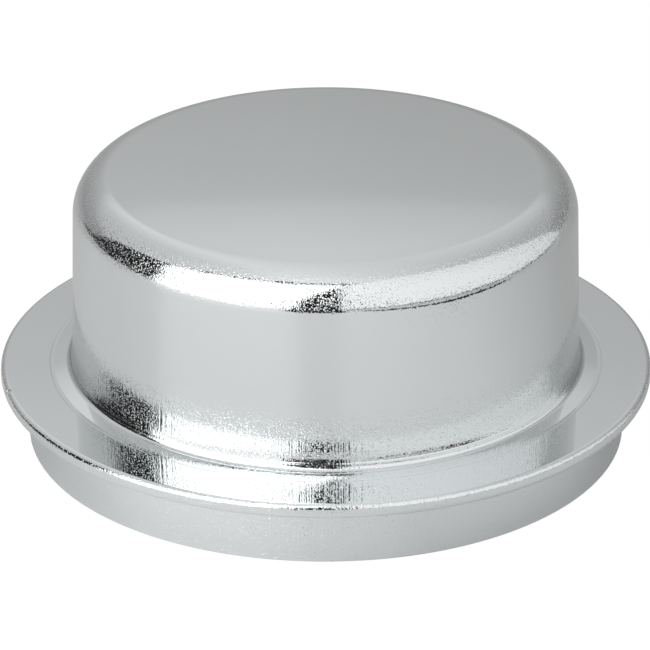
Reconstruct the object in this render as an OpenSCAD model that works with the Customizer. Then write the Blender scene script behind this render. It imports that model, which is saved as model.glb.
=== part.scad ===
// Hub grease cap, pressed from one disc of zinc-plated steel sheet.
// The sheet runs from the middle of the dome, down the wall and over a low land to the flange. At
// the flange's edge it is folded flat back under itself, and inside that hem it turns down into the
// skirt that is pressed into the hub.
// Millimetres, +Z up along the dome's axis, origin in the middle of the skirt's open end.

/* [Fit in the hub] */
// Outside diameter of the skirt, a light press fit in the hub's bore
skirt_d = 64.2; // [40:0.1:90]
// Length of the skirt, from its open end to the underside of the flange
skirt_length = 6.35; // [4:0.05:12]
// How far the flange stands out beyond the skirt
flange_reach = 2.9; // [2.4:0.05:6]

/* [Sheet] */
// Thickness of the sheet
sheet = 0.8; // [0.5:0.05:1.2]
// Space left between the two layers of the hem
hem_gap = 0.1; // [0.06:0.02:0.3]

/* [Dome] */
// Overall height, from the skirt's open end to the middle of the top face
height = 30.1; // [20:0.1:45]
// How much the top face rises from its edge to its middle
crown_rise = 0.5; // [0.4:0.05:1.5]
// How far the foot of the dome lies inside the skirt's outside face
dome_setback = 4.5; // [4.1:0.1:12]
// Taper of the dome's wall on each side, in degrees
draft = 1.5; // [0:0.1:6]
// Outside radius between the wall and the top face
top_r = 4.2; // [2:0.1:8]

/* [Foot of the dome] */
// Radius that turns the wall outwards just above its foot
flare_r = 6; // [3:0.5:10]
// Slope of the flare, in degrees from upright
flare_slope = 12; // [9:0.5:16]
// Length of the flare that is straight, above the hollow
flare_length = 0.8; // [0.2:0.05:1.5]
// Radius of the hollow between the flare and the land
foot_r = 0.5; // [0.3:0.05:2]
// Slope of the land round the foot, in degrees down from level
land_slope = 8; // [4:1:16]
// Width of the land between its two roundings
land_width = 1.3; // [0.2:0.05:2]
// Radius of the crease where the land meets the flange
crease_r = 0.5; // [0.2:0.05:1]

/* [Hem] */
// Radius of the flange's upper edge, in thicknesses of the sheet
upper_edge = 0.75; // [0.3:0.05:1]
// Radius of the flange's lower edge, in thicknesses of the sheet
lower_edge = 0.95; // [0.3:0.05:1]
// Inside radius of the bend from the hem down to the skirt
root_r = 0.3; // [0.1:0.05:1]

/* [Skirt end] */
// Rounding of the skirt's outer end edge, which leads it into the bore
lead_r = 0.2; // [0.05:0.05:0.25]
// Rounding of the skirt's inner end edge
burr_r = 0.1; // [0.05:0.05:0.2]

/* [Hidden] */
zinc = [0.74, 0.75, 0.76];

skirt_r = skirt_d / 2;
flange_r = skirt_r + flange_reach;
flange_top = skirt_length + 2 * sheet + hem_gap;
dome_r = skirt_r - dome_setback;

// Each rounding takes radius x tan(half its turn) of the straight runs beside it.
flare_run = flare_r * tan((flare_slope - draft) / 2);
foot_run = foot_r * tan((90 - flare_slope - land_slope) / 2);
crease_run = crease_r * tan(land_slope / 2);
skirting = flare_run + flare_length + foot_run;
land = foot_run + land_width + crease_run;

// The top face curves from the axis out to here, and is straight from here to its rounded edge.
crown_edge = 0.87 * (dome_r - top_r);
crown_slope = 2 * atan(crown_rise / crown_edge);
crown_r = crown_edge / sin(crown_slope);

crease = [dome_r + land * cos(land_slope), flange_top];
foot = crease + land * [-cos(land_slope), sin(land_slope)];
flare = foot + skirting * [-sin(flare_slope), cos(flare_slope)];
middle = [0, height];
crown = [crown_r * tan(crown_slope / 2), height];
brow_r = (flare[0] - (height + crown[0] * tan(crown_slope) - flare[1]) * tan(draft))
    / (1 - tan(crown_slope) * tan(draft));
brow = [brow_r, height - (brow_r - crown[0]) * tan(crown_slope)];

function unit(v) = v / norm(v);

// The normal on the right-hand side of the run from a to b, which is the side the metal is on.
function right_of(a, b) = [unit(b - a)[1], -unit(b - a)[0]];

// The corner of the sheet's other face, one thickness in from the corner b between a and c.
function through(a, b, c) =
    b + sheet * (right_of(a, b) + right_of(b, c)) / (1 + right_of(a, b) * right_of(b, c));

// Corners of the section with their radii, first along the face that shows, then back along the
// face inside. The hem and the skirt are level and upright, so their corners need no construction.
hem_nose = flange_r - sheet;
skirt_bore = skirt_r - sheet;
outline = [
    [middle, 0],
    [crown, crown_r],
    [brow, top_r],
    [flare, flare_r],
    [foot, foot_r],
    [crease, crease_r],
    [[flange_r, flange_top], upper_edge * sheet],
    [[flange_r, skirt_length], lower_edge * sheet],
    [[skirt_r, skirt_length], root_r],
    [[skirt_r, 0], lead_r],
    [[skirt_bore, 0], burr_r],
    [[skirt_bore, skirt_length + sheet], root_r + sheet],
    [[hem_nose, skirt_length + sheet], 0.4 * hem_gap],
    [[hem_nose, flange_top - sheet], 0.4 * hem_gap],
    [through(foot, crease, [flange_r, flange_top]), crease_r + sheet],
    [through(flare, foot, crease), foot_r + sheet],
    [through(brow, flare, foot), flare_r + sheet],
    [through(crown, brow, flare), top_r - sheet],
    [through(middle, crown, brow), crown_r - sheet],
    [middle - [0, sheet], 0]
];

function at(k) = outline[(k + len(outline)) % len(outline)][0];
function radius(k) = outline[k][1];
function arm(k, step) = unit(at(k + step) - at(k));
function half_angle(k) = acos(arm(k, 1) * arm(k, -1)) / 2;
function run(k) = radius(k) / tan(half_angle(k));
function centre(k) = at(k) + radius(k) / sin(half_angle(k)) * unit(arm(k, 1) + arm(k, -1));
function is_outer(k) = cross(arm(k, -1), arm(k, 1)) > 0;

// The side of corner k's disc that faces the corner. The disc is a hair fuller than a tangent one,
// so that it crosses the straight runs beside it, and it is cut off a little past where it does.
module arc_at(k) {
    facing = at(k) - centre(k);
    full_r = radius(k) * 1.000002 + 0.0002;
    past = 1.5 * acos(radius(k) / full_r);
    translate(centre(k)) rotate(atan2(facing[1], facing[0])) intersection() {
        circle(r = full_r, $fn = 96);
        translate([radius(k) * sin(half_angle(k) - past), -2 * radius(k)])
            square(4 * radius(k));
    }
}

// The sheet cut through on one side of the axis.
module sheet_section() {
    corners = [len(outline) - 1 : -1 : 0];
    intersection() {
        difference() {
            union() {
                polygon([for (k = corners) each radius(k) > 0
                    ? [at(k) + run(k) * arm(k, 1), at(k) + run(k) * arm(k, -1)]
                    : [at(k)]]);
                for (k = corners) if (radius(k) > 0 && is_outer(k)) arc_at(k);
            }
            for (k = corners) if (radius(k) > 0 && !is_outer(k)) arc_at(k);
        }
        square([flange_r + 1, height + 1]);
    }
}

module grease_cap() {
    color(zinc) rotate_extrude($fn = 180) sheet_section();
}

grease_cap();
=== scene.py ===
import math
import bpy
from mathutils import Matrix, Vector


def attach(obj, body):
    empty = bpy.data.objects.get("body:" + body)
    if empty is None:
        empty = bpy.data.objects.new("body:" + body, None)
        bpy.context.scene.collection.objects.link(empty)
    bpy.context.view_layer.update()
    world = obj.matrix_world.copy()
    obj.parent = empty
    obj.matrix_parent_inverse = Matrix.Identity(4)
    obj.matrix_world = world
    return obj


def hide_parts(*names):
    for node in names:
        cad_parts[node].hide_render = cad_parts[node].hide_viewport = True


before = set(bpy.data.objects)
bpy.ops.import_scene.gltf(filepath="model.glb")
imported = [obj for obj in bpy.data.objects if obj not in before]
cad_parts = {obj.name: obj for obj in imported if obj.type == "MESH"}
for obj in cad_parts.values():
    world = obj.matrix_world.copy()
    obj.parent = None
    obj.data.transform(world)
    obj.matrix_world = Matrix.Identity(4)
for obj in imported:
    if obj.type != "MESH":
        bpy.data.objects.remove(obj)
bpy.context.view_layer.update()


# The sheet.
# The cap is one disc of 0.8 mm steel, drawn into a dome whose wall flares out at its foot and meets a
# low sloping land. At the flange's edge the sheet is folded flat under itself, and inside that hem it
# turns down into the skirt, which is pressed into the hub.
sizes = {
    "Height": 0.0301,
    "Crown Rise": 0.0005,
    "Skirt Radius": 0.0321,
    "Skirt Length": 0.00635,
    "Flange Reach": 0.0029,
    "Sheet": 0.0008,
    "Hem Gap": 0.0001,
    "Dome Setback": 0.0045,
    "Draft": math.radians(1.5),
    "Top Bend": 0.0042,
    "Flare Bend": 0.006,
    "Flare Slope": math.radians(12),
    "Flare Length": 0.0008,
    "Foot Bend": 0.0005,
    "Land Slope": math.radians(8),
    "Land Width": 0.0013,
    "Crease Bend": 0.0005,
    "Upper Edge": 0.0006,
    "Lower Edge": 0.00076,
    "Root Bend": 0.0003,
    "Lead Bend": 0.0002,
    "Burr Bend": 0.0001,
}
steps_around = 320
# A bend has this many steps times its turn and the root of its radius, within these two limits.
steps_per_bend = 230.0
fewest_steps = 4.0
most_steps = 30.0


class Wire:
    """One socket's value. A sum written with wires adds the Math nodes for it to their tree."""

    def __init__(self, tree, socket=None):
        self.tree = tree
        self.socket = socket

    def node(self, kind, settings=None, sockets=None, output=0):
        """Adds any node to the wire's tree and returns the wire from one of its outputs. A ramp's
        stops and a switch's number of choices are given with the node's settings."""
        made = self.tree.nodes.new(kind)
        for name, value in (settings or {}).items():
            if name == "stops":
                ramp = made.color_ramp.elements
                while len(ramp) < len(value):
                    ramp.new(0.5)
                for stop, (place, shade) in zip(ramp, value):
                    stop.position = place
                    stop.color = (shade, shade, shade, 1)
            elif name == "choices":
                while len(made.index_switch_items) < value:
                    made.index_switch_items.new()
            else:
                setattr(made, name, value)
        for name, value in (sockets or {}).items():
            if isinstance(value, Wire):
                self.tree.links.new(value.socket, made.inputs[name])
            else:
                made.inputs[name].default_value = value
        return Wire(self.tree, made.outputs[output] if made.outputs else None)

    def beside(self, output):
        """The wire from another output of the same node."""
        return Wire(self.tree, self.socket.node.outputs[output])

    def maths(self, operation, *terms):
        return self.node("ShaderNodeMath", {"operation": operation}, dict(enumerate(terms)))

    def vector(self, operation, *terms):
        output = "Value" if operation in ("DOT_PRODUCT", "LENGTH") else "Vector"
        sockets = dict(enumerate(terms))
        if operation == "SCALE":
            sockets = {"Vector": terms[0], "Scale": terms[1]}
        return self.node("ShaderNodeVectorMath", {"operation": operation}, sockets, output)

    def __add__(self, other):
        return self.maths("ADD", self, other)

    def __radd__(self, other):
        return self.maths("ADD", other, self)

    def __sub__(self, other):
        return self.maths("SUBTRACT", self, other)

    def __rsub__(self, other):
        return self.maths("SUBTRACT", other, self)

    def __mul__(self, other):
        return self.maths("MULTIPLY", self, other)

    def __rmul__(self, other):
        return self.maths("MULTIPLY", other, self)

    def __truediv__(self, other):
        return self.maths("DIVIDE", self, other)

    def __rtruediv__(self, other):
        return self.maths("DIVIDE", other, self)

    def sin(self):
        return self.maths("SINE", self)

    def cos(self):
        return self.maths("COSINE", self)

    def tan(self):
        return self.maths("TANGENT", self)


press = bpy.data.node_groups.new("pressed_and_hemmed_sheet", "GeometryNodeTree")


def setting(name, kind):
    """Adds a setting of the press that the modifier shows."""
    return press.interface.new_socket(name=name, in_out="INPUT", socket_type=kind)


setting("Blank", "NodeSocketGeometry")
size_settings = {}
for name in sizes:
    size_settings[name] = setting(name, "NodeSocketFloat")
    size_settings[name].subtype = "ANGLE" if name in ("Draft", "Flare Slope", "Land Slope") else "DISTANCE"
around_setting = setting("Steps Around", "NodeSocketInt")
bend_setting = setting("Steps per Bend", "NodeSocketFloat")
finish_setting = setting("Finish", "NodeSocketMaterial")
press.interface.new_socket(name="Cap", in_out="OUTPUT", socket_type="NodeSocketGeometry")

blank = Wire(press).node("NodeGroupInput")
height = blank.beside("Height")
crown_rise = blank.beside("Crown Rise")
skirt_radius = blank.beside("Skirt Radius")
skirt_length = blank.beside("Skirt Length")
flange_reach = blank.beside("Flange Reach")
sheet = blank.beside("Sheet")
hem_gap = blank.beside("Hem Gap")
dome_setback = blank.beside("Dome Setback")
draft = blank.beside("Draft")
top_bend = blank.beside("Top Bend")
flare_bend = blank.beside("Flare Bend")
flare_slope = blank.beside("Flare Slope")
flare_length = blank.beside("Flare Length")
foot_bend = blank.beside("Foot Bend")
land_slope = blank.beside("Land Slope")
land_width = blank.beside("Land Width")
crease_bend = blank.beside("Crease Bend")
root_bend = blank.beside("Root Bend")

# Each bend takes radius x tan(half its turn) of the straight runs beside it.
flange_radius = skirt_radius + flange_reach
flange_top = skirt_length + 2 * sheet + hem_gap
dome_radius = skirt_radius - dome_setback
flare_run = flare_bend * ((flare_slope - draft) / 2).tan()
foot_run = foot_bend * ((math.pi / 2 - flare_slope - land_slope) / 2).tan()
crease_run = crease_bend * (land_slope / 2).tan()
skirting = flare_run + flare_length + foot_run
land = foot_run + land_width + crease_run

# The top face curves from the axis out to the crown's edge, and is straight from there to its bend.
crown_share = 0.87
crown_edge = crown_share * (dome_radius - top_bend)
crown_slope = 2 * blank.maths("ARCTANGENT", crown_rise / crown_edge)
crown_radius = crown_edge / crown_slope.sin()
crown_r = crown_radius * (crown_slope / 2).tan()

crease_r = dome_radius + land * land_slope.cos()
foot_z = flange_top + land * land_slope.sin()
flare_r = dome_radius - skirting * flare_slope.sin()
flare_z = foot_z + skirting * flare_slope.cos()
lean = draft.tan()
slant = crown_slope.tan()
brow_r = (flare_r - (height + crown_r * slant - flare_z) * lean) / (1 - slant * lean)
brow_z = height - (brow_r - crown_r) * slant

bore_radius = skirt_radius - sheet
nose_radius = flange_radius - sheet
nose_bend = 0.4 * hem_gap
corners = [
    (0.0, height, 0.0),
    (crown_r, height, crown_radius),
    (brow_r, brow_z, top_bend),
    (flare_r, flare_z, flare_bend),
    (dome_radius, foot_z, foot_bend),
    (crease_r, flange_top, crease_bend),
    (flange_radius, flange_top, blank.beside("Upper Edge")),
    (flange_radius, skirt_length, blank.beside("Lower Edge")),
    (skirt_radius, skirt_length, root_bend),
    (skirt_radius, 0.0, blank.beside("Lead Bend")),
    (bore_radius, 0.0, blank.beside("Burr Bend")),
    (bore_radius, skirt_length + sheet, root_bend + sheet),
    (nose_radius, skirt_length + sheet, nose_bend),
    (nose_radius, flange_top - sheet, nose_bend),
]
first_inner = len(corners)
last_corner = 19

# The corners run down the face that shows and back along the face inside. Each corner of the dome's
# inside face is worked out from its partner outside, one thickness of sheet away from both its runs.
index = blank.node("GeometryNodeInputIndex")
place_switch = {"Index": index}
bend_switch = {"Index": index}
for k, (r, z, bend) in enumerate(corners):
    place_switch[str(k)] = blank.node("ShaderNodeCombineXYZ", None, {"X": r, "Y": z})
    bend_switch[str(k)] = bend
outer_place = blank.node(
    "GeometryNodeIndexSwitch", {"data_type": "VECTOR", "choices": first_inner}, place_switch
)
outer_bend = blank.node(
    "GeometryNodeIndexSwitch", {"data_type": "FLOAT", "choices": first_inner}, bend_switch
)
outline = blank.node("GeometryNodePoints", None, {"Count": last_corner + 1, "Position": outer_place})
outline = blank.node(
    "GeometryNodeStoreNamedAttribute", {"data_type": "FLOAT"},
    {"Geometry": outline, "Name": "bend", "Value": outer_bend},
)
position = blank.node("GeometryNodeInputPosition")
bend = blank.node("GeometryNodeInputNamedAttribute", {"data_type": "FLOAT"}, {"Name": "bend"})


def at(wire, place, kind="FLOAT_VECTOR"):
    """What a wire's value is at another corner of the outline."""
    return blank.node("GeometryNodeFieldAtIndex", {"data_type": kind}, {"Value": wire, "Index": place})


def from_corner(first):
    """1 at this corner of the outline and at all after it, and 0 before it."""
    return blank.maths("GREATER_THAN", index, first - 0.5)


def heading(start, end):
    return blank.vector("NORMALIZE", blank.vector("SUBTRACT", end, start))


def turn_side(first, second):
    """1 where the outline turns anticlockwise from one heading to the next, and -1 where clockwise."""
    across = blank.vector("CROSS_PRODUCT", first, second)
    return blank.maths("SIGN", blank.node("ShaderNodeSeparateXYZ", None, {"Vector": across}, "Z"))


partner = last_corner - index
before = at(position, partner - 1)
corner = at(position, partner)
after = at(position, partner + 1)
into = heading(before, corner)
out_of = heading(corner, after)
right_before = blank.vector("CROSS_PRODUCT", into, (0, 0, 1))
right_after = blank.vector("CROSS_PRODUCT", out_of, (0, 0, 1))
through = sheet / (1 + blank.vector("DOT_PRODUCT", right_before, right_after))
inner_place = blank.vector(
    "ADD", corner, blank.vector("SCALE", blank.vector("ADD", right_before, right_after), through)
)
inner_bend = at(bend, partner, "FLOAT") + sheet * turn_side(into, out_of)
is_inner = from_corner(first_inner)
outline = blank.node(
    "GeometryNodeStoreNamedAttribute", {"data_type": "FLOAT"},
    {"Geometry": outline, "Selection": is_inner, "Name": "bend", "Value": inner_bend},
)
outline = blank.node(
    "GeometryNodeSetPosition", None,
    {"Geometry": outline, "Selection": is_inner, "Position": inner_place},
)
under_middle = blank.node("ShaderNodeCombineXYZ", None, {"Y": height - sheet})
outline = blank.node(
    "GeometryNodeSetPosition", None,
    {"Geometry": outline, "Selection": from_corner(last_corner), "Position": under_middle},
)

# Every corner becomes its bend: points that swing from one run to the next about the bend's centre.
back = heading(position, at(position, index - 1))
ahead = heading(position, at(position, index + 1))
half_angle = blank.maths("ARCCOSINE", blank.vector("DOT_PRODUCT", back, ahead)) / 2
bisector = blank.vector("NORMALIZE", blank.vector("ADD", back, ahead))
to_centre = blank.vector("SCALE", bisector, bend / half_angle.sin())
to_start = blank.vector("SCALE", back, bend / half_angle.tan())
side = turn_side(back, ahead)
turn = math.pi - 2 * half_angle
bend_steps = blank.maths("CEIL", turn * blank.maths("SQRT", bend) * blank.beside("Steps per Bend"))
bend_steps = blank.maths("MINIMUM", blank.maths("MAXIMUM", fewest_steps, bend_steps), most_steps)
for name, kind, wire in (
    ("centre", "FLOAT_VECTOR", blank.vector("ADD", position, to_centre)),
    ("spoke", "FLOAT_VECTOR", blank.vector("SUBTRACT", to_start, to_centre)),
    ("swing", "FLOAT", turn * side * -1),
    ("side", "FLOAT", side),
    ("bend steps", "FLOAT", bend_steps),
):
    outline = blank.node(
        "GeometryNodeStoreNamedAttribute", {"data_type": kind},
        {"Geometry": outline, "Name": name, "Value": wire},
    )


def stored(name, kind="FLOAT"):
    return blank.node("GeometryNodeInputNamedAttribute", {"data_type": kind}, {"Name": name})


has_bend = blank.maths("GREATER_THAN", bend, 0.0)
swung = blank.node(
    "GeometryNodeDuplicateElements", None,
    {"Geometry": outline, "Selection": has_bend, "Amount": stored("bend steps") + 1},
)
share = swung.beside("Duplicate Index") / stored("bend steps")
arm = blank.node(
    "ShaderNodeVectorRotate", {"rotation_type": "Z_AXIS"},
    {"Vector": stored("spoke", "FLOAT_VECTOR"), "Angle": stored("swing") * share},
)
section = blank.node(
    "GeometryNodeSetPosition", None,
    {"Geometry": swung, "Position": blank.vector("ADD", stored("centre", "FLOAT_VECTOR"), arm)},
)
outward = blank.vector("SCALE", blank.vector("NORMALIZE", arm), stored("side"))
section = blank.node(
    "GeometryNodeStoreNamedAttribute", {"data_type": "FLOAT_VECTOR"},
    {"Geometry": section, "Name": "outward", "Value": outward},
)

# The section is spun about the axis. It hangs upside down on the small hoop that it follows, so it
# is turned over first and moved in by the hoop's own radius.
hoop_radius = 0.001
weld_distance = 2e-6
hung = blank.vector("MULTIPLY", position, (1, -1, 1))
section = blank.node(
    "GeometryNodeSetPosition", None,
    {"Geometry": section, "Position": hung, "Offset": (-hoop_radius, 0, 0)},
)
section = blank.node("GeometryNodePointsToCurves", None, {"Points": section})
hoop = blank.node(
    "GeometryNodeCurvePrimitiveCircle", None,
    {"Resolution": blank.beside("Steps Around"), "Radius": hoop_radius},
)
skin = blank.node("GeometryNodeCurveToMesh", None, {"Curve": hoop, "Profile Curve": section})
skin = blank.node("GeometryNodeMergeByDistance", None, {"Geometry": skin, "Distance": weld_distance})
skin = blank.node("GeometryNodeSetShadeSmooth", None, {"Geometry": skin})
spoke = blank.vector("NORMALIZE", blank.vector("MULTIPLY", position, (1, 1, 0)))
outward = blank.node("ShaderNodeSeparateXYZ", None, {"Vector": stored("outward", "FLOAT_VECTOR")})
upward = blank.node("ShaderNodeCombineXYZ", None, {"Z": outward.beside("Y")})
true_normal = blank.vector("ADD", blank.vector("SCALE", spoke, outward), upward)
skin = blank.node(
    "GeometryNodeSetMeshNormal", {"mode": "FREE", "domain": "POINT"},
    {"Mesh": skin, "Custom Normal": true_normal},
)
for name in ("bend", "centre", "spoke", "swing", "side", "bend steps", "outward"):
    skin = blank.node("GeometryNodeRemoveAttribute", None, {"Geometry": skin, "Name": name})
finish = blank.beside("Finish")
skin = blank.node("GeometryNodeSetMaterial", None, {"Geometry": skin, "Material": finish})
shown = press.nodes.new("NodeGroupOutput")
press.links.new(skin.socket, shown.inputs["Cap"])


# The zinc plate.
# A bright zinc coat on the drawn steel, nearly a mirror and even on the top and the flange. The bends
# have a fine grain with pits, and the wall's foot and the skirt have upright draw lines. There is a draw
# ring on the flare, a scored line round the flange's inner border, and a nick in its edge at the left.
zinc_plate = bpy.data.materials.new("zinc_plate")
zinc_plate.use_nodes = True
zinc_plate.node_tree.nodes.clear()
zinc = Wire(zinc_plate.node_tree)
place = zinc.node("ShaderNodeTexCoord", output="Object")
facing = zinc.node("ShaderNodeTexCoord", output="Normal")
upness = zinc.maths("ABSOLUTE", zinc.node("ShaderNodeSeparateXYZ", None, {"Vector": facing}, "Z"))
uprightness = 1 - upness * upness
rise = zinc.node("ShaderNodeSeparateXYZ", None, {"Vector": place}, "Z")
flat_place = zinc.vector("MULTIPLY", place, (1, 1, 0))
reach = zinc.vector("LENGTH", flat_place)


def fade(value, start, end):
    """Goes smoothly from 0 to 1 while the value goes from start to end."""
    return zinc.node(
        "ShaderNodeMapRange", {"interpolation_type": "SMOOTHSTEP"},
        {"Value": value, "From Min": start, "From Max": end, "To Min": 0.0, "To Max": 1.0},
    )


def ridge(value, centre, half_width):
    """A low rounded ridge round the cap, where the value is near its centre."""
    return fade(zinc.maths("ABSOLUTE", value - centre), half_width, 0.0)


# The draw lines come from a noise that hardly changes up the wall, because the die drew it out.
wall_radius = 0.027
drawn_out = 0.025
round_wall = zinc.vector("SCALE", zinc.vector("NORMALIZE", flat_place), wall_radius)
up_wall = zinc.node("ShaderNodeCombineXYZ", None, {"Z": rise * drawn_out})
draw_path = zinc.vector("ADD", round_wall, up_wall)
draw_lines = zinc.node(
    "ShaderNodeTexNoise", None, {"Vector": draw_path, "Scale": 4200.0, "Detail": 1.0, "Roughness": 0.5}
)
grain = zinc.node("ShaderNodeTexNoise", None, {"Vector": place, "Scale": 5200.0, "Detail": 1.0})
pits = zinc.node("ShaderNodeTexNoise", None, {"Vector": place, "Scale": 6000.0, "Detail": 0.0})
pit_threshold = 0.56
pits = zinc.maths("MAXIMUM", pits - pit_threshold, 0.0)

# The plate is rough where the sheet was strained, and smooth again where the die's edge ironed it.
foot_strain = fade(rise, start=0.017, end=0.011)
bend_strain = fade(upness, start=0.06, end=0.25)
off_level = fade(upness, start=0.985, end=0.86)
least_strain = 0.15
least_drawn = 0.12
strained = zinc.maths("MAXIMUM", zinc.maths("MAXIMUM", foot_strain, bend_strain), least_strain)
strained = strained * off_level
drawn = zinc.maths("MAXIMUM", foot_strain, least_drawn)
ironed = fade(rise, start=0.0100, end=0.0092) * fade(rise, start=0.0082, end=0.0085)
draw_ring = ridge(rise, centre=0.0089, half_width=0.00013)
on_flange = fade(rise, start=0.0085, end=0.0083)
score = ridge(reach, centre=0.02970, half_width=0.00007) * on_flange
nick_place = (-0.0338, -0.0085, 0.0079)
from_nick = zinc.vector("LENGTH", zinc.vector("SUBTRACT", place, nick_place))
nick = fade(from_nick, start=0.0005, end=0.0001)

# Heights are in steps of 22 thousandths of a millimetre.
height_step = 0.000022
grain_height = 0.45
pit_height = 3.6
line_height = 1.5
ring_height = 1.2
score_depth = 0.9
nick_depth = 9
ironed_away = 0.6
relief = (grain * grain_height + pits * pit_height) * strained
relief = relief + draw_lines * uprightness * drawn * line_height
relief = relief * (1 - ironed_away * ironed)
relief = relief + draw_ring * ring_height - score * score_depth
relief = relief - nick * nick_depth
skin_bump = zinc.node(
    "ShaderNodeBump", None, {"Strength": 1.0, "Distance": height_step, "Height": relief}
)
plate = zinc.node(
    "ShaderNodeBsdfPrincipled", None,
    {
        "Base Color": (0.775, 0.80, 0.805, 1),
        "Metallic": 1.0,
        "Roughness": 0.02,
        "Normal": skin_bump,
    },
)
zinc.node("ShaderNodeOutputMaterial", None, {"Surface": plate})

blank_mesh = bpy.data.meshes.new("blank")
cap_form = bpy.data.objects.new("cap_form", blank_mesh)
bpy.context.collection.objects.link(cap_form)
pressing = cap_form.modifiers.new("pressing", "NODES")
pressing.node_group = press
for name, value in sizes.items():
    pressing[size_settings[name].identifier] = value
pressing[around_setting.identifier] = steps_around
pressing[bend_setting.identifier] = steps_per_bend
pressing[finish_setting.identifier] = zinc_plate

pressed = cap_form.evaluated_get(bpy.context.evaluated_depsgraph_get())
pressed_cap = bpy.data.objects.new("pressed_cap", bpy.data.meshes.new_from_object(pressed))
bpy.context.collection.objects.link(pressed_cap)
bpy.data.objects.remove(cap_form)
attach(pressed_cap, "root")
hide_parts("grease_cap")


# The studio's cards.
# A wide white softbox stands at the front left, with a dark gap over it, and a white reflector at the
# front right, with a dark strip under it that is painted shade for the shadow gap at its foot. A black
# card stands at the left, and the gap for the camera is dark too.
# The zinc mirrors these, and two dark mats on the table. The camera doesn't see them.
shoulder = 0.027
mat_height = 0.0003


def level(distance, height):
    """The elevation of a height at this distance along the table, seen from the cap's shoulder."""
    return math.degrees(math.atan((height - shoulder) / distance))


def card(name, glow, corners, right_glow=None):
    """A card that gives off this much light. Each corner has an azimuth round the cap, 0 towards the
    camera and 90 to the right, an elevation seen from the cap's shoulder, and a distance along the
    table. Where there is a right glow, the light changes evenly to it from the left end to the right."""
    points = []
    for azimuth, elevation, distance in corners:
        way = math.radians(azimuth)
        up = shoulder + distance * math.tan(math.radians(elevation))
        points.append((distance * math.sin(way), -distance * math.cos(way), up))
    mesh = bpy.data.meshes.new(name)
    mesh.from_pydata(points, [], [range(len(points))])
    board = bpy.data.objects.new(name, mesh)
    bpy.context.collection.objects.link(board)
    paint = bpy.data.materials.new(name)
    paint.use_nodes = True
    paint.node_tree.nodes.clear()
    wire = Wire(paint.node_tree)
    colour = (1, 1, 1, 1)
    if right_glow is not None:
        spot = wire.node("ShaderNodeTexCoord", output="Object")
        spot = wire.node("ShaderNodeSeparateXYZ", None, {"Vector": spot})
        azimuths = [math.radians(azimuth) for azimuth, _, _ in corners]
        dimming = wire.node(
            "ShaderNodeMapRange", None,
            {
                "Value": wire.maths("ARCTAN2", spot, -1 * spot.beside("Y")),
                "From Min": min(azimuths),
                "From Max": max(azimuths),
                "To Min": 1.0,
                "To Max": right_glow / glow,
            },
        )
        colour = wire.node(
            "ShaderNodeCombineColor", None, {"Red": dimming, "Green": dimming, "Blue": dimming}
        )
    light = wire.node("ShaderNodeEmission", None, {"Color": colour, "Strength": glow})
    wire.node("ShaderNodeOutputMaterial", None, {"Surface": light})
    mesh.materials.append(paint)
    board.visible_camera = False


softbox_foot = level(0.32, 0)
card("softbox", 1.9, [
    (-77, softbox_foot, 0.32), (-14, softbox_foot, 0.32), (-12.5, 5, 0.32), (-10.5, 20, 0.32),
    (-2.5, 43, 0.30), (5, 53, 0.28), (13, 60, 0.25), (0, 62, 0.25), (-25, 63, 0.25), (-50, 61, 0.25),
    (-66, 55, 0.27), (-83, 42, 0.29), (-82, 32, 0.30), (-75, 17, 0.31),
])
card("top_gap", 0.03, [
    (-81, 42.5, 0.28), (-66, 54.5, 0.26), (-50, 60.5, 0.245), (-25, 62.5, 0.245), (0, 61.5, 0.245),
    (13, 59.5, 0.245), (27, 62, 0.245), (27, 65, 0.245), (13, 63, 0.245), (0, 65, 0.245),
    (-25, 66, 0.245), (-50, 64, 0.245), (-66, 58.5, 0.26), (-81, 47.5, 0.28),
])
dark_foot = level(0.40, 0)
card("black_card", 0.02, [
    (-135, dark_foot, 0.40), (-70, dark_foot, 0.40), (-70, 43, 0.38), (-80, 44, 0.36),
    (-99, 33, 0.38), (-110, 25, 0.38), (-120, 2, 0.40),
])
card("camera_mat", 0.02, [
    (azimuth, level(distance, mat_height), distance)
    for azimuth, distance in ((-16, 0.135), (8, 0.135), (8, 0.39), (-16, 0.39))
])
card("camera_gap", 0.02, [
    (-17, dark_foot, 0.40), (10, dark_foot, 0.40), (11, 45, 0.36), (18, 62, 0.28), (6, 60, 0.29),
    (-8, 43, 0.36),
])

reflector_distance = 0.156
reflector_facing = 50
# The painted shadow gap under the reflector runs between these two heights.
shadow_gap_bottom = 0.007
shadow_gap_top = 0.013


def to_reflector(azimuth):
    """How far along the table the straight reflector stands at this azimuth."""
    return reflector_distance / math.cos(math.radians(azimuth - reflector_facing))


reflector_bottom = [
    (azimuth, level(to_reflector(azimuth), shadow_gap_top), to_reflector(azimuth)) for azimuth in (124, 6)
]
reflector_edge = [
    (azimuth, elevation, to_reflector(azimuth))
    for azimuth, elevation in (
        (6, 2), (6.5, 22), (7.5, 48), (13, 59), (30, 64), (55, 64), (79, 59), (91, 50), (105, 38),
        (111, 27), (119, 13), (123, 3),
    )
]
card("reflector", 1.12, reflector_bottom + reflector_edge, right_glow=0.80)
# A dark strip under the reflector: painted shade, standing for the shadow gap at the reflector's foot.
card("reflector_shadow_gap", 0.05, [
    (azimuth, level(to_reflector(azimuth), height), to_reflector(azimuth))
    for azimuth, height in ((124, shadow_gap_bottom), (6, shadow_gap_bottom), (6, shadow_gap_top), (124, shadow_gap_top))
])

# The mat's corners stand at these shares of the way to the reflector.
mat_shares = (
    (14, 0.85), (25, 0.79), (50, 0.74), (80, 0.76), (80, 0.66), (50, 0.60), (25, 0.68), (14, 0.75),
)
card("reflector_mat", 0.03, [
    (azimuth, level(share * to_reflector(azimuth), mat_height), share * to_reflector(azimuth))
    for azimuth, share in mat_shares
])


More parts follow.
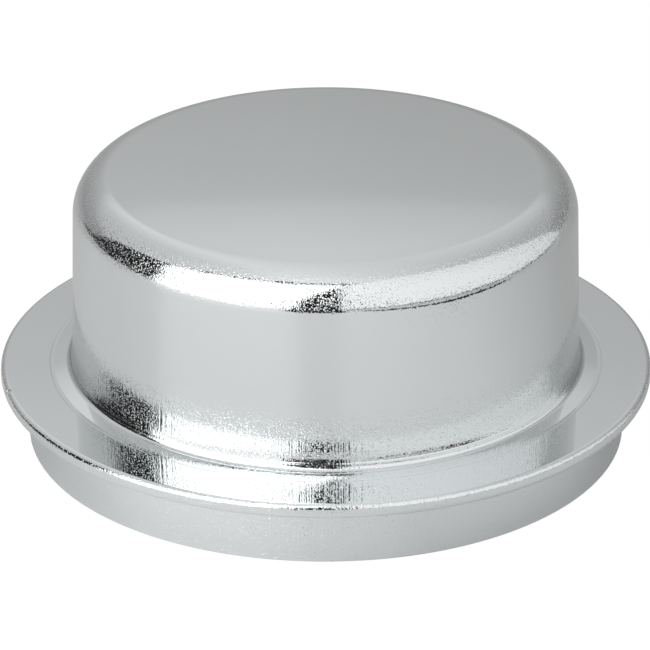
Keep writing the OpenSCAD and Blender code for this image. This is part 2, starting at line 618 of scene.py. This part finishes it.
# The sweep.
# Pale paper behind the table, over it and down to the front. It is brightest overhead, a little to the
# left, and greyest low behind and at the right. The camera sees it as plain white.
sweep = bpy.data.worlds.new("sweep")
bpy.context.scene.world = sweep
sweep.use_nodes = True
sweep.node_tree.nodes.clear()
air = Wire(sweep.node_tree)
toward = air.node("ShaderNodeTexCoord", output="Generated")
toward = air.node("ShaderNodeSeparateXYZ", None, {"Vector": toward})
over = air.maths("ARCTAN2", toward.beside("Z"), toward.beside("Y")) / math.pi

# Shades of the sweep by the angle in degrees, up from level behind and on over the top.
sweep_shades = [
    (0, 0.34), (14, 0.41), (23.6, 0.49), (25.7, 0.515), (26.8, 0.59), (28.2, 0.64), (31, 0.725),
    (43, 0.755), (65, 0.80), (90, 0.89), (110, 0.99),
]
overhead = air.node(
    "ShaderNodeValToRGB", {"stops": [(angle / 180, shade) for angle, shade in sweep_shades]},
    {"Fac": over},
)
# Shades of the sweep from the left, -1, to the right, 1.
side_shades = [
    (-0.7, 0.68), (-0.4, 0.745), (-0.15, 0.975), (-0.05, 0.93), (-0.015, 0.925), (0.03, 0.88),
    (0.4, 0.67), (0.7, 0.50),
]
sideways = air.node(
    "ShaderNodeValToRGB", {"stops": [(0.5 + x / 2, shade) for x, shade in side_shades]},
    {"Fac": 0.5 + toward / 2},
)
sweep_light = 1.1
sweep_colour = air.vector("MULTIPLY", overhead, air.vector("SCALE", sideways, sweep_light))
mirrored_white = 0.06
ray = air.node("ShaderNodeLightPath", output="Is Camera Ray")
white_share = ray + (ray.beside("Is Glossy Ray") + ray.beside("Is Transmission Ray")) * mirrored_white
backdrop = air.node(
    "ShaderNodeMix", {"data_type": "RGBA"}, {"Factor": white_share, 6: sweep_colour, 7: (1, 1, 1, 1)}, 2
)
glow = air.node("ShaderNodeBackground", None, {"Color": backdrop, "Strength": 1.0})
air.node("ShaderNodeOutputWorld", None, {"Surface": glow})


# The table.
# A wide pale board with a faint sheen, which the cap stands on. Its colour has painted light in it:
# a painted falloff makes it palest at the front left and greyer behind, near the cap a painted pool
# of light makes it paler towards the softbox, and painted shade makes it greyer on the side away from
# the softbox. The camera sees it as white, with a faint shadow.
table_half = 3
table_corners = [(x * table_half, y * table_half, 0) for x, y in ((-1, -1), (1, -1), (1, 1), (-1, 1))]
table_mesh = bpy.data.meshes.new("table")
table_mesh.from_pydata(table_corners, [], [(0, 1, 2, 3)])
table = bpy.data.objects.new("table", table_mesh)
bpy.context.collection.objects.link(table)
table_top = bpy.data.materials.new("table_top")
table_top.use_nodes = True
table_top.node_tree.nodes.clear()
top = Wire(table_top.node_tree)
spot = top.node("ShaderNodeTexCoord", output="Object")
spot = top.node("ShaderNodeSeparateXYZ", None, {"Vector": spot})


def blend(value, start, end, low, high):
    """Goes smoothly from low to high while the value goes from start to end."""
    return top.node(
        "ShaderNodeMapRange", {"interpolation_type": "SMOOTHSTEP"},
        {"Value": value, "From Min": start, "From Max": end, "To Min": low, "To Max": high},
    )


def between(value, low, high):
    return top.maths("MAXIMUM", top.maths("MINIMUM", value, high), low)


rightward = 0.7
softbox_way = math.radians(-28)
lit_from = 0.75
dull_from = 0.1
dulled = 0.2
# Painted light falloff: the board's colour is paler at the front left, towards the lamps, and greyer
# behind at the right.
shade = blend(spot.beside("Y") + spot * rightward, start=-0.12, end=0.16, low=0.79, high=0.52)
# A painted pool of light makes the board paler near the cap towards the softbox, and painted shade makes
# it greyer on the side away from the softbox.
distance = top.maths("SQRT", spot * spot + spot.beside("Y") * spot.beside("Y"))
close_by = blend(distance, start=0.06, end=0.034, low=0.0, high=1.0)
to_softbox = (spot * math.sin(softbox_way) - spot.beside("Y") * math.cos(softbox_way)) / distance
painted_shade_away = between((dull_from - to_softbox) * dulled, low=0.0, high=0.16)
painted_light_pool = between(to_softbox - lit_from, low=-0.08, high=0.24)
shade = shade * (1 + painted_light_pool * close_by - painted_shade_away)
# The board's colour, with the painted falloff, pool of light and shade in it.
paper_and_painted_light = top.node("ShaderNodeCombineColor", None, {"Red": shade, "Green": shade, "Blue": shade})
matt = top.node("ShaderNodeBsdfPrincipled", None, {"Base Color": paper_and_painted_light, "Roughness": 0.35, "IOR": 1.2})
white = top.node("ShaderNodeEmission", None, {"Color": (1, 1, 1, 1), "Strength": 1.1})
seen_white = 0.88
ray = top.node("ShaderNodeLightPath", output="Is Camera Ray")
mirrored = (ray.beside("Is Glossy Ray") + ray.beside("Is Transmission Ray")) * mirrored_white
white_share = ray * seen_white + mirrored
shown = top.node("ShaderNodeMixShader", None, {0: white_share, 1: matt, 2: white})
top.node("ShaderNodeOutputMaterial", None, {"Surface": shown})
table_mesh.materials.append(table_top)


# The camera.
# It looks down at the cap from about 25 degrees, half a metre away, through a long lens. It is turned
# a touch about its own axis, as the photograph's was.
tilt = math.radians(25.52)
roll = math.radians(-0.13)
stand_off = 0.4978
aim_point = Vector((-0.00008, 0, 0.01159))
away = Vector((0, -math.cos(tilt), math.sin(tilt)))
across = Vector((1, 0, 0))
upright = away.cross(across)
lens_across = across * math.cos(roll) + upright * math.sin(roll)
lens_up = upright * math.cos(roll) - across * math.sin(roll)
camera_data = bpy.data.cameras.new("camera")
camera_data.sensor_width = 36
camera_data.lens = 256.4
camera = bpy.data.objects.new("camera", camera_data)
bpy.context.collection.objects.link(camera)
aim = Matrix((lens_across, lens_up, away)).transposed().to_4x4()
aim.translation = aim_point + away * stand_off
camera.matrix_world = aim
bpy.context.scene.camera = camera

bpy.context.scene.view_settings.view_transform = "Standard"
